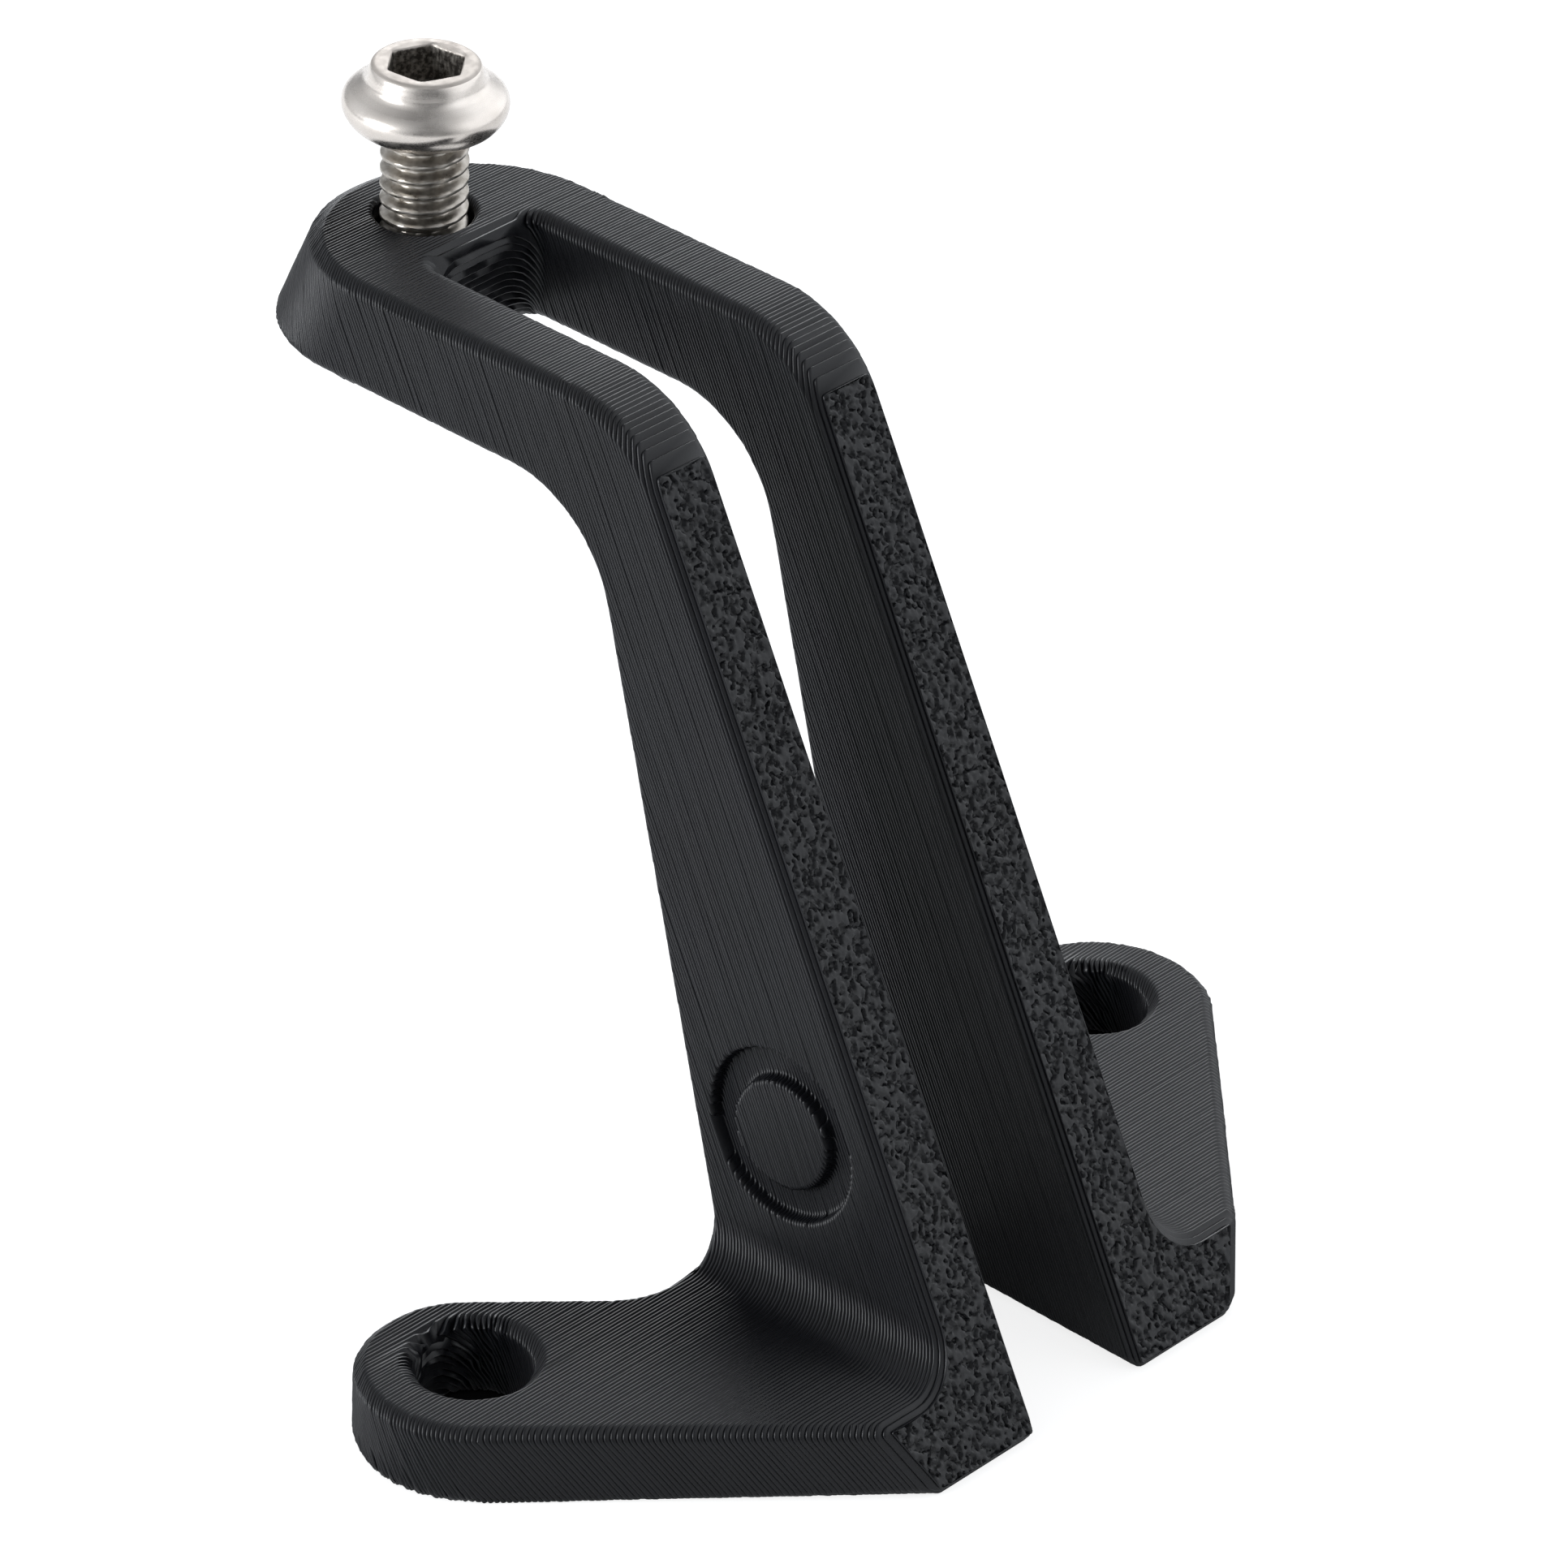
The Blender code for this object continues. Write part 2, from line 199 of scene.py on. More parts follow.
def polished_steel():
    """Turned and polished stainless steel: faint lathe rings, small scuffs."""
    n = Nodes("polished_steel")
    lathe = n.noise(n.place(scale=(1, 1, 22)), 260, 3, 0.5)
    plain = n.place()
    scuff = n.noise(plain, 2200, 5, 0.7)
    patch = n.noise(plain, 420, 2, 0.5)
    colour = n.mix(n.ramp(patch, 0, 1, 0.3, 0.7), (0.63, 0.58, 0.53, 1), (0.74, 0.69, 0.64, 1))
    rough = n.ramp(n.math("ADD", n.math("MULTIPLY", lathe, 0.5), n.math("MULTIPLY", scuff, 0.5)),
                   0.18, 0.36, 0.3, 0.7)
    bumps = n.bump(lathe, 0.06, 0.006 * MM)
    bumps = n.bump(scuff, 0.08, 0.004 * MM, bumps)
    n.set(Base_Color=colour, Metallic=1.0, Roughness=rough, Normal=bumps)
    return n.material


def faced_steel():
    """The head's end face, left satin by the facing tool, its steel painted darker than the rest of the
    head as painted shade on the top.
    """
    n = Nodes("faced_steel")
    plain = n.place()
    grain = n.noise(plain, 1800, 4, 0.6)
    patch = n.noise(plain, 420, 2, 0.5)
    # Painted shade: the end face's steel is painted darker than the rest of the head.
    colour = n.mix(n.ramp(patch, 0, 1, 0.3, 0.7), (0.39, 0.355, 0.325, 1), (0.48, 0.445, 0.41, 1))
    rough = n.ramp(grain, 0.52, 0.68, 0.3, 0.7)
    n.set(Base_Color=colour, Metallic=1.0, Roughness=rough, Normal=n.bump(grain, 0.10, 0.005 * MM))
    return n.material


def thread_steel():
    """The rolled thread: the same steel, left duller, and painted darker than the head as painted
    shade, in patches that vary at random.
    """
    n = Nodes("thread_steel")
    rolled = n.noise(n.place(), 1500, 4, 0.6)
    # Painted shade: the thread's steel is painted darker than the head's, in patches that vary at
    # random.
    colour = n.mix(n.ramp(rolled, 0, 1, 0.3, 0.7), (0.27, 0.245, 0.21, 1), (0.52, 0.49, 0.45, 1))
    rough = n.ramp(rolled, 0.26, 0.40, 0.3, 0.7)
    n.set(Base_Color=colour, Metallic=1.0, Roughness=rough, Normal=n.bump(rolled, 0.10, 0.006 * MM))
    return n.material


def socket_steel():
    """The broached socket: dull, with flecks of lint and dust, its steel painted dark as painted shade
    in the recess.
    """
    n = Nodes("socket_steel")
    plain = n.place()
    lint_and_shade = n.noise(plain, 3400, 3, 0.6)
    tear = n.noise(n.place(scale=(6, 6, 1)), 900, 4, 0.6)
    # Painted shade: the socket's steel is painted dark, with paler flecks of lint and dust.
    colour = n.mix(n.ramp(lint_and_shade, 0, 1, 0.42, 0.66), (0.10, 0.09, 0.08, 1), (0.46, 0.43, 0.39, 1))
    rough = n.ramp(tear, 0.30, 0.55, 0.3, 0.7)
    n.set(Base_Color=colour, Metallic=1.0, Roughness=rough, Normal=n.bump(tear, 0.4, 0.02 * MM))
    return n.material


def turned_brass():
    """Brass with turning rings and slightly dull patches."""
    n = Nodes("brass")
    rings = n.place(scale=(1, 1, 40))
    lathe = n.noise(rings, 300, 4, 0.6)
    dull = n.noise(n.place(), 700, 3, 0.6)
    colour = n.mix(n.ramp(dull, 0, 1, 0.3, 0.7), (0.62, 0.42, 0.17, 1), (0.84, 0.63, 0.30, 1))
    rough = n.ramp(dull, 0.24, 0.46, 0.3, 0.7)
    n.set(Base_Color=colour, Metallic=1.0, Roughness=rough, Normal=n.bump(lathe, 0.25, 0.01 * MM))
    return n.material


def pale_floor():
    """Plain matt white floor."""
    n = Nodes("floor")
    cloud = n.noise(n.place(), 4, 2, 0.5)
    shade = n.mix(n.ramp(cloud, 0, 1), (0.90, 0.90, 0.90, 1), (0.93, 0.93, 0.93, 1))
    n.set(Base_Color=shade, Roughness=0.9, Specular_IOR_Level=0.0)
    return n.material


# The floor's own light, and how far from a bolt hole's edge it begins and is full; nearer the hole the
# floor is painted dark as painted shade
GLOW = 0.82
GLOW_BEGINS, GLOW_FULL = 0.5 * MM, 1.2 * MM


def light_table():
    """The floor as the camera sees it: white, mostly by its own light, with painted shade in the bolt
    holes, where it is dark and gives no light.
    """
    n = Nodes("light_table")
    spot = n.place()
    outside_hole_shade = None
    for x in (-HOLE_X, HOLE_X):
        away = n.add("ShaderNodeVectorMath", {0: spot, 1: (x, HOLE_Y, 0)},
                     operation="DISTANCE").outputs["Value"]
        clear = n.ramp(away, 0, 1, HOLE_RADIUS + GLOW_BEGINS, HOLE_RADIUS + GLOW_FULL)
        outside_hole_shade = clear if outside_hole_shade is None else n.math("MULTIPLY", outside_hole_shade, clear)
    # Painted shade: in and round the bolt holes the floor is painted near black and its own light is
    # off.
    colour = n.mix(outside_hole_shade, (0.01, 0.01, 0.01, 1), (0.34, 0.34, 0.34, 1))
    glow = n.math("MULTIPLY", outside_hole_shade, GLOW)
    n.set(Base_Color=colour, Roughness=0.9, Specular_IOR_Level=0.0, Emission_Color=(1, 1, 1, 1),
          Emission_Strength=glow)
    return n.material


# ---------------------------------------------------------------- layered bracket
def cad_triangles(node):
    """Welded vertices and triangles of a CAD node, as arrays."""
    shape = bmesh.new()
    shape.from_mesh(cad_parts[node].data)
    bmesh.ops.remove_doubles(shape, verts=shape.verts, dist=CAD_WELD)
    bmesh.ops.triangulate(shape, faces=shape.faces)
    points = np.array([vertex.co for vertex in shape.verts])
    faces = np.array([[vertex.index for vertex in face.verts] for face in shape.faces])
    shape.free()
    return points, faces


def slice_loops(u, v, height, faces, level):
    """Closed loops of (u, v) points where a triangle mesh meets one level."""
    above = height > level
    count = above[faces].sum(1)
    step = {}
    place = {}
    for triangle in faces[(count > 0) & (count < 3)]:
        ends = []
        for a, b in zip(triangle, np.roll(triangle, -1)):
            if above[a] == above[b]:
                continue
            key = (min(a, b), max(a, b))
            ends.append((key, above[a]))
            if key not in place:
                t = (level - height[a]) / (height[b] - height[a])
                place[key] = (u[a] + t * (u[b] - u[a]), v[a] + t * (v[b] - v[a]))
        first = ends[0] if ends[0][1] else ends[1]
        second = ends[1] if ends[0][1] else ends[0]
        step[first[0]] = second[0]
    loops = []
    while step:
        start, here = step.popitem()
        loop = [place[start]]
        while here != start:
            loop.append(place[here])
            here = step.pop(here)
        loops.append(loop)
    return loops


def tidy_loop(loop):
    """Drop points that are too close together or lie on a straight run."""
    kept = []
    for point in loop:
        if not kept or (Vector(point) - Vector(kept[-1])).length > SHORTEST_RUN:
            kept.append(point)
    while len(kept) > 3 and (Vector(kept[0]) - Vector(kept[-1])).length <= SHORTEST_RUN:
        kept.pop()
    changed = True
    while changed and len(kept) > 3:
        changed = False
        for i in range(len(kept)):
            a, b, c = Vector(kept[i - 1]), Vector(kept[i]), Vector(kept[(i + 1) % len(kept)])
            if (c - a).length < 1e-9:
                continue
            away = abs((b - a).cross(c - a)) / (c - a).length
            if away < FLAT:
                kept.pop(i)
                changed = True
                break
    return kept


def round_corners(loop):
    """Replace sharp turns by short arcs, as a nozzle draws them."""
    result = []
    for i, point in enumerate(loop):
        a, b, c = Vector(loop[i - 1]), Vector(point), Vector(loop[(i + 1) % len(loop)])
        before, after = b - a, c - b
        turn = abs(before.angle_signed(after))
        if turn < SHARP_TURN:
            result.append(point)
            continue
        cut = min(NOZZLE_TURN * tan(min(turn, 2.4) / 2), 0.45 * before.length, 0.45 * after.length)
        start = b - before.normalized() * cut
        end = b + after.normalized() * cut
        for k in range(TURN_STEPS + 1):
            t = k / TURN_STEPS
            result.append(tuple(start * (1 - t) ** 2 + b * (2 * t * (1 - t)) + end * t ** 2))
    return result


def arch_slot_end(loop, world_y):
    """Give the slot's blind end the rounded corners that the bridging strands leave."""
    half = SLOT_HALF + 0.1 * MM
    end_wall = [v for u, v in loop if abs(u) < half and abs(world_y(v) - SLOT_END_Y) < 0.03 * MM]
    if not end_wall:
        return loop
    end = max(end_wall)
    count = len(loop)
    low = end - ARCH_RADIUS
    near = [abs(u) < half and v > low and world_y(v) < SLOT_END_Y + 0.05 * MM for u, v in loop]
    starts = [i for i in range(count) if near[i] and not near[i - 1]]
    if len(starts) != 1:
        return loop
    start = starts[0]
    length = sum(near)
    first, last = loop[start], loop[(start + length - 1) % count]
    for edge, beside in ((first, loop[start - 1]), (last, loop[(start + length) % count])):
        if abs(beside[0]) > half:
            low = max(low, edge[1])
    if first[0] * last[0] > 0 or end - low < 0.1 * MM:
        return loop
    flat = SLOT_HALF - ARCH_RADIUS
    arch = []
    for i in range(ARCH_STEPS + 1):
        u = SLOT_HALF * sin(pi * (i / ARCH_STEPS - 0.5))
        past = min(max(abs(u) - flat, 0.0) / ARCH_RADIUS, 1.0)
        arch.append((u, low + (end - low) * sqrt(1 - past * past)))
    if first[0] > last[0]:
        arch.reverse()
    rest = [loop[(start + length + i) % count] for i in range(count - length)]
    return rest + arch


def split_long(loop):
    """Add points to long straight runs."""
    result = []
    for i, point in enumerate(loop):
        a, b = Vector(point), Vector(loop[(i + 1) % len(loop)])
        parts = max(1, int((b - a).length / LONGEST_RUN + 0.5))
        result += [tuple(a.lerp(b, k / parts)) for k in range(parts)]
    return result


def area(loop):
    """Signed area of a loop, positive when it runs counter-clockwise."""
    return 0.5 * sum(a[0] * b[1] - b[0] * a[1] for a, b in zip(loop, loop[1:] + loop[:1]))


def inward(loop):
    """Unit-offset directions that point into the material, which is on the left of each run."""
    result = []
    for i, point in enumerate(loop):
        a, b, c = Vector(loop[i - 1]), Vector(point), Vector(loop[(i + 1) % len(loop)])
        before = (b - a).normalized()
        after = (c - b).normalized()
        first = Vector((-before.y, before.x))
        second = Vector((-after.y, after.x))
        middle = first + second
        if middle.length < 0.2:
            result.append(first)
            continue
        middle.normalize()
        result.append(middle / max(0.5, middle.dot(first)))
    return result


def fill(loops, extra=()):
    """Triangulate the loops' material: (points, triangles, the input point behind each point)."""
    points, edges = [], []
    for loop in loops:
        start = len(points)
        points += [Vector(p) for p in loop]
        edges += [(start + i, start + (i + 1) % len(loop)) for i in range(len(loop))]
    points += [Vector(p) for p in extra]
    points, _, triangles, sources, _, _ = delaunay_2d_cdt(points, edges, [], 0, 1e-9, True)
    triangles = np.array(triangles)
    flat = np.array(points)
    middles = flat[triangles].mean(1)
    triangles = triangles[inside(loops, middles)]
    given = flat[[bool(source) for source in sources]]
    behind = [source[0] for source in sources if source]
    nearest = [source[0] if source else behind[int(((given - flat[i]) ** 2).sum(1).argmin())]
               for i, source in enumerate(sources)]
    triangles = [t for t in triangles if len({nearest[i] for i in t}) == 3]
    return points, triangles, nearest


class Space:
    """Carries layer coordinates (u across, v along the heel, h in build height) to the frame."""

    def __init__(self, base):
        self.base = base

    def point(self, u, v, h):
        found = ACROSS * u + ALONG_HEEL * v + UP_BUILD * (h + self.base)
        found.z = max(found.z, 0.0)
        return droop(round_foot(found))


def round_foot(point):
    """Hold the beads to the foot's round end, and ease its lower edge."""
    if point.z > FOOT_RADIUS:
        return point
    out = Vector((abs(point.x), point.y)) - FOOT_END
    limit = FOOT_RADIUS + FOOT_SLACK - FOOT_EDGE * (1 - ease(point.z / FOOT_EDGE_HEIGHT))
    if out.dot(FOOT_ALONG) < 0 or out.length < limit:
        return point
    held = FOOT_END + out * (limit / out.length)
    return Vector((held.x if point.x > 0 else -held.x, held.y, point.z))


def ease(value):
    """Smooth step from 0 to 1."""
    value = min(max(value, 0.0), 1.0)
    return value * value * (3 - 2 * value)


def droop(point):
    """Strands that close a foot's hole or the slot's end hang towards the bed."""
    amount = 0.0
    for x in (-HOLE_X, HOLE_X):
        gap = Vector((point.x - x, point.y - HOLE_Y))
        if 0 < gap.y and gap.length < HOLE_RADIUS + SAG_REACH:
            near = 1 - ease((gap.length - HOLE_RADIUS) / SAG_REACH)
            amount = max(amount, near * ease(1.5 * gap.y / gap.length))
    beside = SLOT_HALF + SLOT_SIDE - abs(point.x)
    past = point.y - SLOT_END_Y
    if point.z > OVERHANG_Z and beside > 0 and past > -ARCH_REACH:
        near = (1 - ease(past / PAST_FADE)) * ease((past + ARCH_REACH) / ARCH_FADE)
        amount = max(amount, SLOT_DROOP * near * ease(beside / SIDE_FADE))
    if amount == 0:
        return point
    ragged = 0.75 + 1.1 * noise.noise(point / RAGGED)
    return point - UP_BUILD * (amount * DROOP * max(ragged, 0.1))


def layer_sway(k, u, v):
    """How far a bead stands out from its place: each layer has its own error, with slow waves."""
    own = noise.noise(Vector((k * 7.31, 0.5, 0.25)))
    own -= max(0.0, noise.noise(Vector((k * 3.17, 9.5, 4.0))) - 0.2) * 3.0
    wave = noise.noise(Vector((u / WAVE_LENGTH, v / WAVE_LENGTH, k * 0.83)))
    ripple = noise.noise(Vector((u / RIPPLE_LENGTH, v / RIPPLE_LENGTH, k * 5.11)))
    return (OWN_SWAY * own + WAVE_SWAY * wave + RIPPLE_SWAY * ripple) * MM


def add_layer(shape, space, loops, k, first=False):
    """One printed layer as a closed slab with rounded walls; the first one is left open below."""
    levels = [((k + share) * LAYER, inset) for share, inset in BEAD]
    caps = {0: [], len(levels) - 1: []}
    for loop in loops:
        directions = inward(loop)
        rings = []
        for height, inset in levels:
            ring = []
            for (u, v), d in zip(loop, directions):
                move = SET_IN + inset - layer_sway(k, u, v)
                ring.append(shape.verts.new(space.point(u + d.x * move, v + d.y * move, height)))
            rings.append(ring)
        count = len(loop)
        for a, b in zip(rings, rings[1:]):
            for i in range(count):
                j = (i + 1) % count
                face = shape.faces.new((a[i], a[j], b[j], b[i]))
                face.smooth = True
        caps[0].append((loop, rings[0]))
        caps[len(levels) - 1].append((loop, rings[-1]))
    _, triangles, sources = fill(loops)
    for level in caps:
        if first and level == 0:
            continue
        verts = [vertex for loop, ring in caps[level] for vertex in ring]
        for triangle in triangles:
            corner = [verts[sources[index]] for index in triangle]
            shape.faces.new(corner if level else corner[::-1])
    return caps[0]


def distance_to(loops, points):
    """Distance of many points to the nearest run of the loops."""
    best = np.full(len(points), 1.0)
    for loop in loops:
        for a, b in zip(loop, loop[1:] + loop[:1]):
            a, b = np.array(a), np.array(b)
            run = b - a
            t = np.clip(((points - a) @ run) / (run @ run), 0, 1)
            gap = np.linalg.norm(points - a - t[:, None] * run, axis=1)
            best = np.minimum(best, gap)
    return best


def pit_depth(u, v, edge):
    """Depth of the bed's cast texture: ragged pits between flat-topped ridges."""
    x, y = u / MM, v / MM
    warp = noise.noise(Vector((x * 1.9, y * 1.9, 3.0))) * 0.4
    p = Vector((x * 3.8 + warp, y * 2.9 - warp, 0.7))
    cells = noise.noise(p) * 0.75 + noise.noise(p * 2.1 + Vector((4, 1, 0))) * 0.35
    pit = ease((cells + 0.10) / 0.40)
    crumb = noise.noise(Vector((x * 9.0, y * 9.0, 1.5)))
    bead = 0.5 - 0.5 * cos(2 * pi * edge / RASTER)
    groove = (1 - bead) ** 4 if edge > 0.2 * MM else 0.0
    return (PIT * pit + CRUMB * crumb + GROOVE * groove) * MM


def add_bed_face(shape, space, rims):
    """The heel's own face: a dense sheet, pitted where it lay on the bed."""
    loops = [loop for loop, ring in rims]
    verts = [vertex for loop, ring in rims for vertex in ring]
    flat = np.array([p for loop in loops for p in loop])
    low, high = flat.min(0), flat.max(0)
    row_step = BED_SPACING * 0.866
    rows = int((high[1] - low[1]) / row_step)
    columns = int((high[0] - low[0]) / BED_SPACING)
    grid = [(low[0] + (c + 0.5 * (r % 2)) * BED_SPACING, low[1] + r * row_step)
            for r in range(1, rows) for c in range(columns + 1)]
    grid = np.array(grid)
    gap = distance_to(loops, grid)
    keep = (gap > 0.45 * BED_SPACING) & inside(loops, grid)
    grid, gap = grid[keep], gap[keep]
    points, triangles, sources = fill(loops, grid)
    total = len(flat)
    known = []
    for (u, v), source in zip(points, sources):
        if source < total:
            known.append(verts[source])
            continue
        near = gap[source - total]
        depth = pit_depth(u, v, near) * min(1.0, near / EDGE_EASE)
        known.append(shape.verts.new(space.point(u, v, depth)))
    for triangle in triangles:
        shape.faces.new([known[index] for index in triangle[::-1]]).smooth = True


def inside(loops, points):
    """Which points lie in the loops' material, by crossing count."""
    hits = np.zeros(len(points), int)
    for loop in loops:
        for a, b in zip(loop, loop[1:] + loop[:1]):
            spans = (a[1] > points[:, 1]) != (b[1] > points[:, 1])
            if a[1] == b[1]:
                continue
            cross = a[0] + (points[:, 1] - a[1]) * (b[0] - a[0]) / (b[1] - a[1])
            hits += spans & (points[:, 0] < cross)
    return hits % 2 == 1


def print_bracket():
    """The bracket as its layers; the first layer, with the pitted face, is its own piece."""
    points, faces = cad_triangles("bracket")
    u = points @ np.array(ACROSS)
    v = points @ np.array(ALONG_HEEL)
    height = points @ np.array(UP_BUILD)
    base = height.min()
    space = Space(base)
    layers = int((height.max() - base) / LAYER) + 1
    body, bed = bmesh.new(), bmesh.new()
    for k in range(layers):
        level = base + (k + 0.5) * LAYER + 1e-8
        loops = []
        for loop in slice_loops(u, v, height, faces, level):
            loop = tidy_loop(loop)
            if len(loop) > 2 and abs(area(loop)) > SMALLEST_ISLAND:
                loop = arch_slot_end(loop, lambda v: v * sin(HEEL_LEAN) + level * cos(HEEL_LEAN))
                loops.append(split_long(round_corners(loop)))
        if not loops:
            continue
        total = sum(area(loop) for loop in loops)
        if total < 0:
            loops = [loop[::-1] for loop in loops]
        if k == 0:
            rims = add_layer(bed, space, loops, k, first=True)
            add_bed_face(bed, space, rims)
        else:
            add_layer(body, space, loops, k)
    return body, bed


def new_piece(name, shape, look, sharp):
    """A bmesh as a new object with one material, its edges sharp above an angle."""
    mesh = bpy.data.meshes.new(name)
    shape.to_mesh(mesh)
    shape.free()
    mesh.materials.append(look)
    mesh.set_sharp_from_angle(angle=sharp)
    made = bpy.data.objects.new(name, mesh)
    bpy.context.scene.collection.objects.link(made)
    return made


# ---------------------------------------------------------------- screw
SCREW_STEPS = 96
SHANK_LENGTH = 11.0 * MM
PITCH = 0.95 * MM
THREAD_RADIUS = 2.5 * MM
THREAD_DEPTH = 0.56 * MM
THREAD_RINGS = 154
TIP_RADIUS = 1.72 * MM
TIP_BEVEL_RADIUS = 1.78 * MM
LEAD_IN = 0.9 * MM
PLAIN_NECK = 0.28 * MM
RUN_OUT = 0.35 * MM
# A ring of this radius closes an end
POINT_RADIUS = 0.0004 * MM
SOCKET_TURN = radians(37.5)
ACROSS_FLATS = 4.0 * MM
# Head, as (radius, rise over its seat) in mm, from the neck round the flange to the socket's mouth
HEAD_PROFILE = ((2.10, 0.0), (3.00, 0.0), (3.40, 0.05), (3.80, 0.22), (4.15, 0.47), (4.42, 0.78),
                (4.60, 1.10), (4.68, 1.36), (4.70, 1.60), (4.66, 1.86), (4.54, 2.10), (4.34, 2.30),
                (4.08, 2.48), (3.66, 2.70), (3.46, 2.86), (3.35, 3.02), (3.31, 3.16), (3.25, 3.42),
                (3.15, 3.70), (3.06, 3.86), (2.94, 3.96), (2.78, 4.0), (2.50, 4.0), (2.42, 3.99))
# Socket, as (share of hexagon against circle, rise in mm, growth), then its drilled floor
SOCKET_WALL = ((0.85, 3.93, 1.04), (1.0, 3.86, 1.01), (1.0, 3.80, 1.0), (1.0, 3.66, 1.0),
               (1.0, 2.0, 1.0), (1.0, 1.86, 0.985))
SOCKET_FLOOR = ((1.80, 1.80), (1.0, 1.50), (0.25, 1.24), (0.0004, 1.22))
# Counted from the last ring: where the socket's look and the end face's look start
SOCKET_RINGS = 9
FACE_RINGS = 15
# The screw's materials, in the order of its slots
BODY_LOOK, SOCKET_LOOK, THREAD_LOOK, FACE_LOOK = range(4)


def thread_height(turn):
    """Thread profile over one pitch, from 0 at the root to 1 on the crest, softly rounded."""
    return ease((0.90 - abs((turn % 1.0) - 0.5) * 2) / 0.76)


def hexagon(angle):
    """Half-width of a unit hexagon in a direction, with a slightly eased corner."""
    local = (angle - SOCKET_TURN) % (pi / 3) - pi / 6
    return min(1 / cos(local), 1.135)


def screw_rings(low):
    """Rings of (radius function, z) from the tip's middle round the head into the socket."""
    head = low + SHANK_LENGTH
    rings = [(lambda a: POINT_RADIUS, low), (lambda a: TIP_RADIUS, low)]
    for i in range(1, THREAD_RINGS):
        z = low + (head - low) * i / THREAD_RINGS
        lead = min(1.0, (z - low) / LEAD_IN)
        fade = min(1.0, max(0.0, (head - PLAIN_NECK - z) / RUN_OUT))

        def radius(angle, z=z, lead=lead, fade=fade):
            turn = (z - low) / PITCH - angle / (2 * pi)
            limit = TIP_BEVEL_RADIUS + (THREAD_RADIUS - TIP_BEVEL_RADIUS) * lead
            root = THREAD_RADIUS - THREAD_DEPTH
            return min(limit, root + THREAD_DEPTH * thread_height(turn) * fade)
        rings.append((radius, z))
    for radius_mm, rise in HEAD_PROFILE:
        rings.append((lambda angle, r=radius_mm * MM: r, head + rise * MM))
    for blend, rise, grow in SOCKET_WALL:
        def radius(angle, blend=blend, grow=grow):
            flat = ACROSS_FLATS / 2
            return flat * grow * ((1 - blend) * 1.02 + blend * hexagon(angle))
        rings.append((radius, head + rise * MM))
    for radius_mm, rise in SOCKET_FLOOR:
        rings.append((lambda angle, r=radius_mm * MM: r, head + rise * MM))
    return rings


def make_screw(centre_y, low, high):
    """The screw as one mesh of rings, none above the CAD screw's top."""
    shape = bmesh.new()
    loops = []
    for radius, z in screw_rings(low):
        ring = []
        for i in range(SCREW_STEPS):
            angle = SOCKET_TURN + 2 * pi * i / SCREW_STEPS
            r = radius(angle)
            ring.append(shape.verts.new((r * cos(angle), centre_y + r * sin(angle), min(z, high))))
        loops.append(ring)
    for level, (a, b) in enumerate(zip(loops, loops[1:])):
        for i in range(SCREW_STEPS):
            j = (i + 1) % SCREW_STEPS
            face = shape.faces.new((a[i], a[j], b[j], b[i]))
            face.smooth = True
            if level >= len(loops) - SOCKET_RINGS:
                face.material_index = SOCKET_LOOK
            elif level >= len(loops) - FACE_RINGS:
                face.material_index = FACE_LOOK
            elif level < THREAD_RINGS:
                face.material_index = THREAD_LOOK
            else:
                face.material_index = BODY_LOOK
    shape.faces.new(loops[0][::-1])
    shape.faces.new(loops[-1]).material_index = SOCKET_LOOK
    made = new_piece("nose_screw_visual", shape, polished_steel(), radians(34))
    made.data.materials.append(socket_steel())
    made.data.materials.append(thread_steel())
    made.data.materials.append(faced_steel())
    return made


# ---------------------------------------------------------------- pieces
body_shape, bed_shape = print_bracket()
BEAD_SHARP = radians(50)
layers_look = black_print("black_print", 0.27, 0.44, 0.35)
bracket = new_piece("bracket_layers", body_shape, layers_look, BEAD_SHARP)
heel_look = black_print("black_bed_face", 0.26, 0.42, 0.5)
heel = new_piece("bracket_first_layer", bed_shape, heel_look, BEAD_SHARP)
for piece in (bracket, heel):
    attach(piece, "hook")
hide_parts("bracket")
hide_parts("bracket")

screw_low, screw_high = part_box("nose_screw")
screw = make_screw((screw_low.y + screw_high.y) / 2, screw_low.z, screw_high.z)
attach(screw, "screw")
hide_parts("nose_screw")

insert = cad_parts["nose_insert"]
insert.data.materials.clear()
insert.data.materials.append(turned_brass())

# ---------------------------------------------------------------- floor and light
# A plain floor lights the object and shows in its gloss. The camera sees a second floor just above it,
# lit from within as a light table is, so that the ground stays white but for the contact shadow and the
# painted shade in the bolt holes
FLOOR_GAP = 0.1 * MM
for name, look in (("floor", pale_floor()), ("light_table", light_table())):
    floor_shape = bmesh.new()
    bmesh.ops.create_grid(floor_shape, x_segments=8, y_segments=8, size=3.0)
    floor = new_piece(name, floor_shape, look, radians(30))
    lit_from_within = name == "light_table"
    floor.location.z = 0 if lit_from_within else -FLOOR_GAP
    floor.visible_camera = lit_from_within
    floor.visible_diffuse = not lit_from_within
    floor.visible_glossy = not lit_from_within
    floor.visible_shadow = not lit_from_within


LAMP_COLOUR = (0.95, 0.97, 1)


def area_light(name, place, target, size, power):
    """A soft lamp that faces a point."""
    data = bpy.data.lights.new(name, "AREA")
    data.shape = "RECTANGLE"
    data.size, data.size_y = size
    data.energy = power
    data.color = LAMP_COLOUR
    lamp = bpy.data.objects.new(name, data)
    bpy.context.scene.collection.objects.link(lamp)
    lamp.location = place
    lamp.rotation_euler = (Vector(place) - Vector(target)).to_track_quat("Z", "Y").to_euler()


middle = (0, 0, 0.03)
area_light("backlight", (0.52, 0.50, 0.46), middle, (0.5, 0.35), 3.5)
area_light("left", (-0.80, 0.35, 0.30), middle, (0.35, 0.5), 6.2)

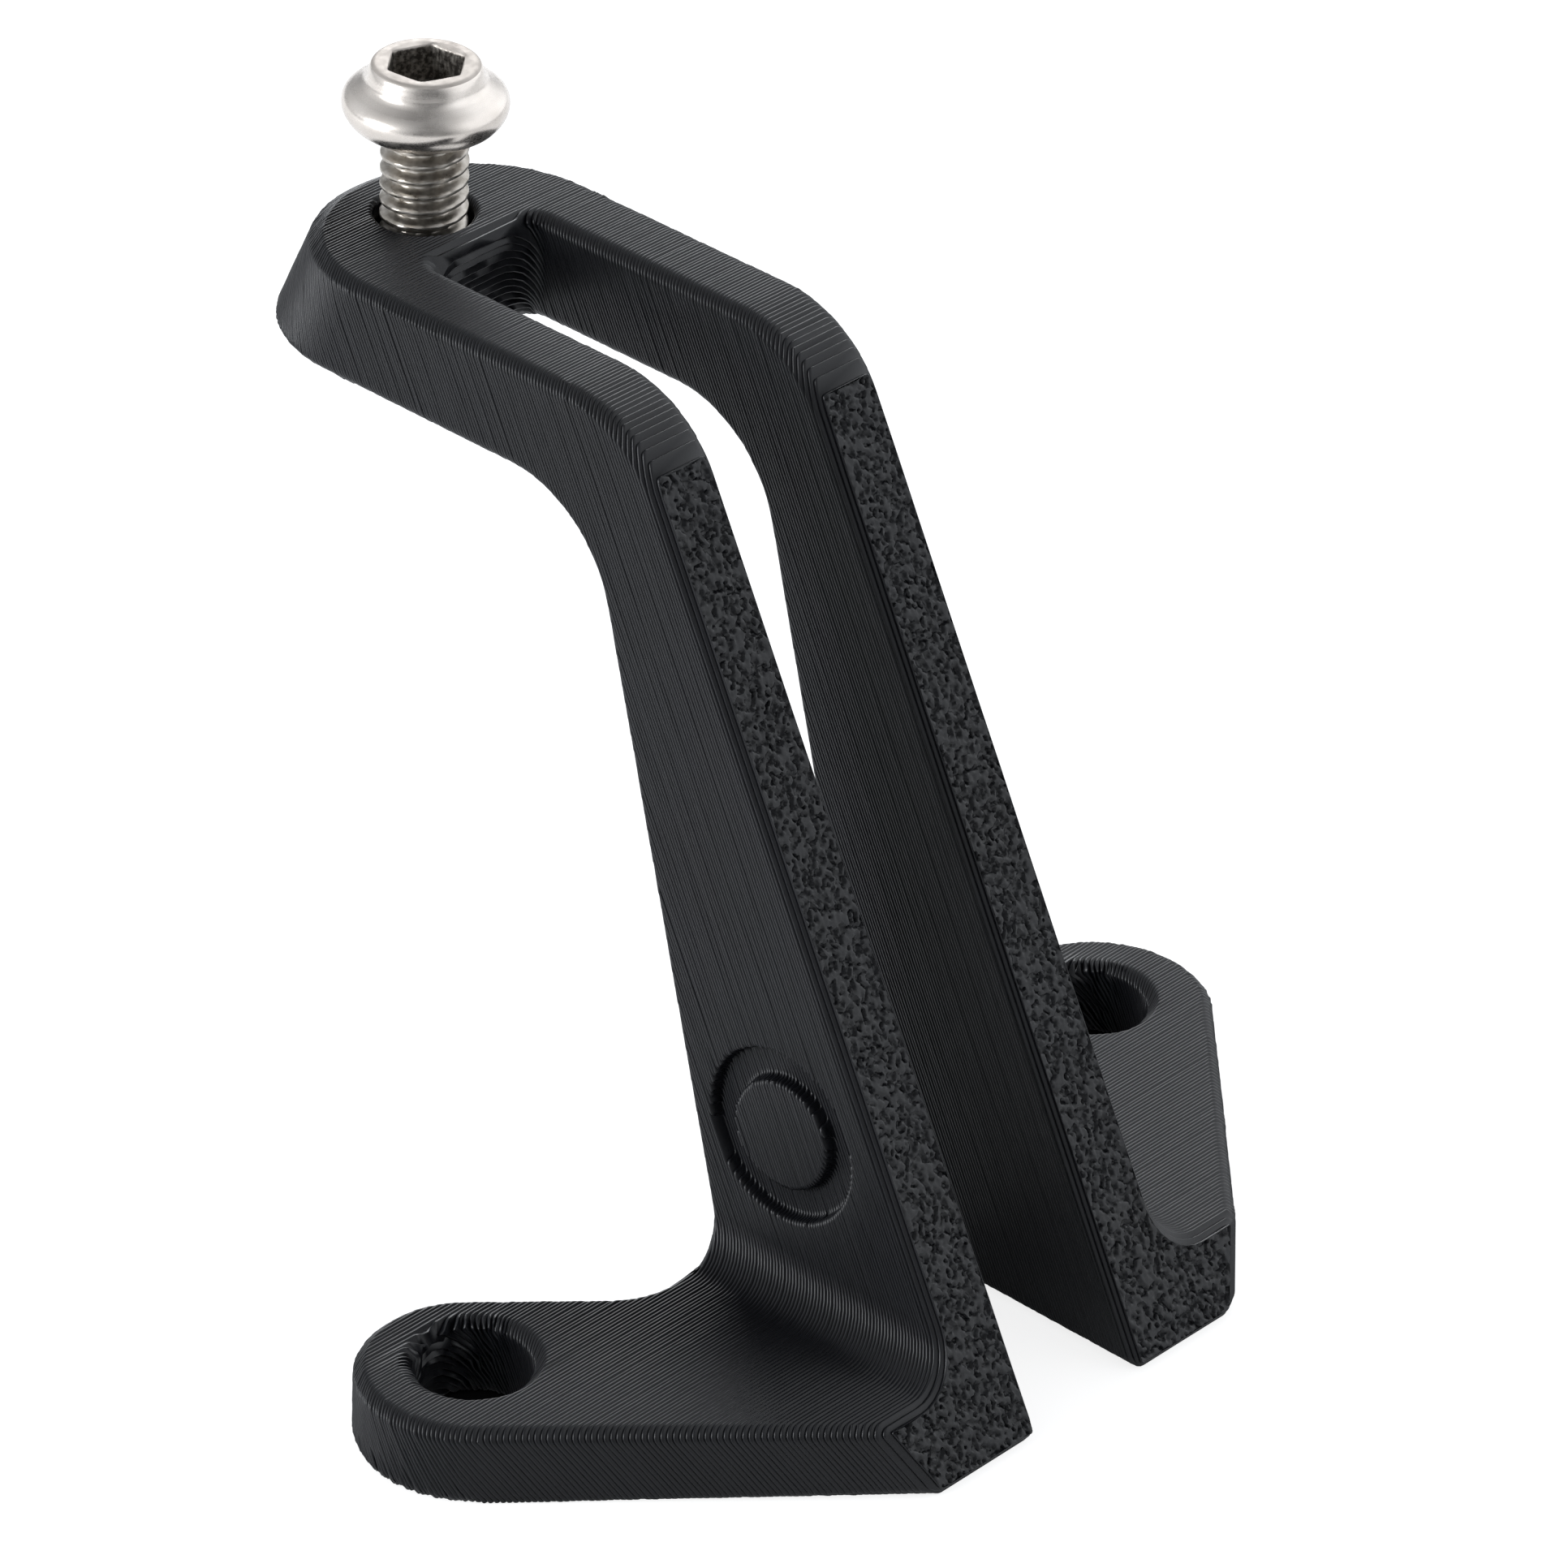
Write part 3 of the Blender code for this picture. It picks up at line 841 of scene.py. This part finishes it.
# A dim studio with four large white screens: behind, to the left, to the right and over the front,
# each as (direction, level)
SCREENS = (((0.70, 0.62, 0.35), 0.45), ((-0.8, 0.6, 0.25), 0.9), ((0.8, -0.6, 0.25), 1.45),
           ((-0.45, -0.40, 0.80), 0.28))
world = bpy.data.worlds.new("studio")
bpy.context.scene.world = world
world.use_nodes = True
tree = world.node_tree
direction = tree.nodes.new("ShaderNodeTexCoord").outputs["Generated"]
total = None
for toward, level in SCREENS:
    facing = tree.nodes.new("ShaderNodeVectorMath")
    facing.operation = "DOT_PRODUCT"
    facing.inputs[1].default_value = Vector(toward).normalized()
    tree.links.new(direction, facing.inputs[0])
    screen = tree.nodes.new("ShaderNodeMapRange")
    screen.interpolation_type = "SMOOTHSTEP"
    screen.inputs["From Min"].default_value = 0.3
    screen.inputs["From Max"].default_value = 0.95
    screen.inputs["To Max"].default_value = level
    tree.links.new(facing.outputs["Value"], screen.inputs["Value"])
    if total is None:
        total = screen.outputs[0]
        continue
    both = tree.nodes.new("ShaderNodeMath")
    tree.links.new(total, both.inputs[0])
    tree.links.new(screen.outputs[0], both.inputs[1])
    total = both.outputs[0]
background = tree.nodes["Background"]
background.inputs["Color"].default_value = (0.93, 0.96, 1, 1)
tree.links.new(total, background.inputs["Strength"])

# ---------------------------------------------------------------- camera
AZIMUTH, ELEVATION, ROLL = -0.8500, 0.5539, 0.0424
DISTANCE = 0.479274
LENS = 205.49
HEEL_TO_ORIGIN = 30.739 * MM
target = Vector((-11.1125 * MM, 15 * MM - HEEL_TO_ORIGIN, 38.9837 * MM))
back = Vector((sin(AZIMUTH) * cos(ELEVATION), -cos(AZIMUTH) * cos(ELEVATION), sin(ELEVATION)))
side = Vector((cos(AZIMUTH), sin(AZIMUTH), 0))
up = back.cross(side)
right = side * cos(ROLL) + up * sin(ROLL)
upward = up * cos(ROLL) - side * sin(ROLL)
camera_data = bpy.data.cameras.new("camera")
camera_data.lens = LENS
camera_data.sensor_width = 36
camera_data.clip_start = 0.01
camera = bpy.data.objects.new("camera", camera_data)
bpy.context.scene.collection.objects.link(camera)
view = Matrix((right, upward, back)).transposed().to_4x4()
view.translation = target + back * DISTANCE
camera.matrix_world = view
bpy.context.scene.camera = camera
bpy.context.scene.view_settings.view_transform = "Standard"
